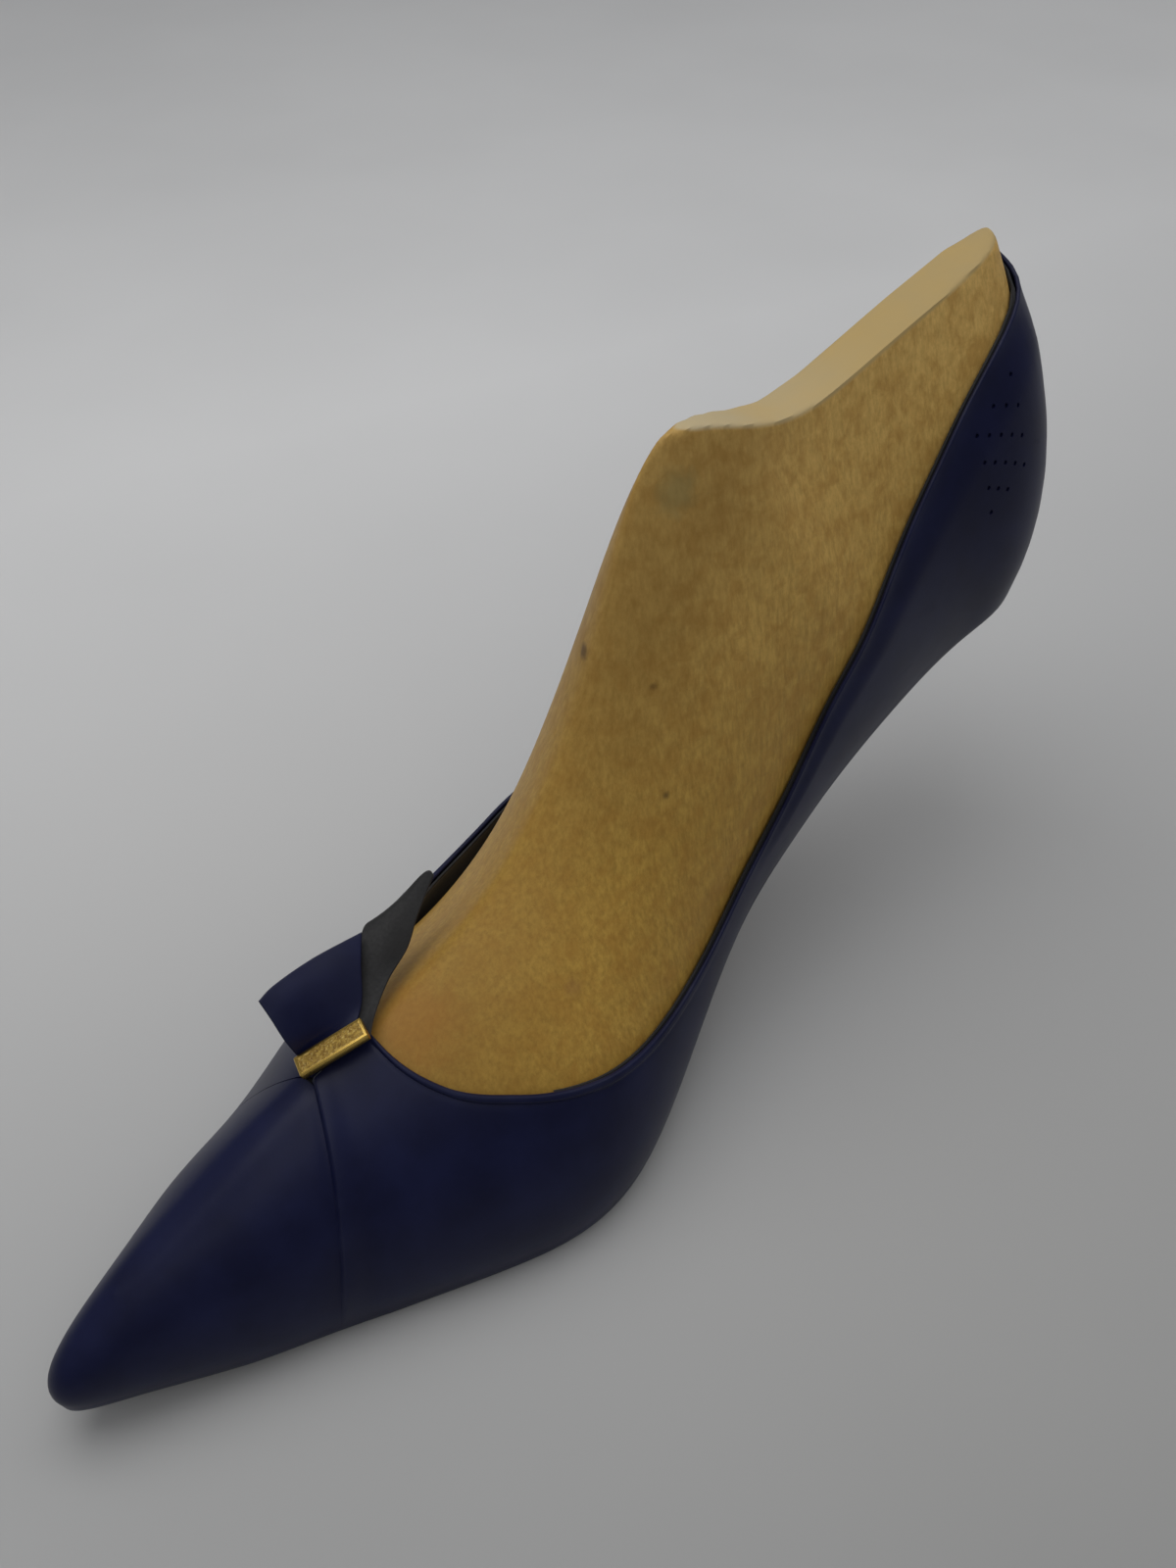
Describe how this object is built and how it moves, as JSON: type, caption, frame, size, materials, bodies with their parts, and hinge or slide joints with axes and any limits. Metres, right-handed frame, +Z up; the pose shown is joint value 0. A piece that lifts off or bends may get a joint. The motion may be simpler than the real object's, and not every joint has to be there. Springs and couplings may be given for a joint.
{
  "type": "cobbler last with lasted upper",
  "caption": "Wooden right-foot cobbler last for a 65 mm heel with a pointed navy court shoe upper, gilt bar and small bow lasted over it.",
  "frame": {"origin": "on the bench under the centre of the part's bounding box, at the flat tread of the forepart", "axes": "+X from the toe to the heel back, +Y from the inner (medial) to the outer (lateral) side, +Z up"},
  "size_m": [0.2414, 0.0716, 0.1369],
  "materials": {
    "last_wood": "varnished hornbeam or maple, honey coloured, worn, comb top raw and paler",
    "navy_kid": "smooth navy kid, satin",
    "black_lining": "matt black lining kid",
    "stiffener": "stiffened canvas, matt",
    "insole_board": "pressed fibre board, matt",
    "plate_steel": "plain rolled strip",
    "tack_iron": "blued iron",
    "gilt_bar": "gilt, mottled face with polished bevels"
  },
  "bodies": {
    "root": {"last_body": "last_wood", "heel_plate": "plate_steel", "heel_plate_screw_front": "tack_iron", "heel_plate_screw_rear": "tack_iron", "insole_board": "insole_board", "insole_tack_toe": "tack_iron", "insole_tack_joint": "tack_iron", "insole_tack_heel": "tack_iron", "steel_shank": "plate_steel", "shank_rivet_front": "tack_iron", "shank_rivet_rear": "tack_iron", "vamp_lining": "black_lining", "medial_quarter_lining": "black_lining", "lateral_quarter_lining": "black_lining", "toe_puff": "stiffener", "heel_counter": "stiffener", "vamp": "navy_kid", "medial_quarter": "navy_kid", "lateral_quarter": "navy_kid", "lasting_tack_medial_1": "tack_iron", "lasting_tack_medial_2": "tack_iron", "lasting_tack_medial_3": "tack_iron", "lasting_tack_lateral_1": "tack_iron", "lasting_tack_lateral_2": "tack_iron", "lasting_tack_lateral_3": "tack_iron", "bow_front_lobe": "navy_kid", "bow_rear_lobe": "black_lining", "ornament_bar": "gilt_bar"}
  },
  "joints": []
}
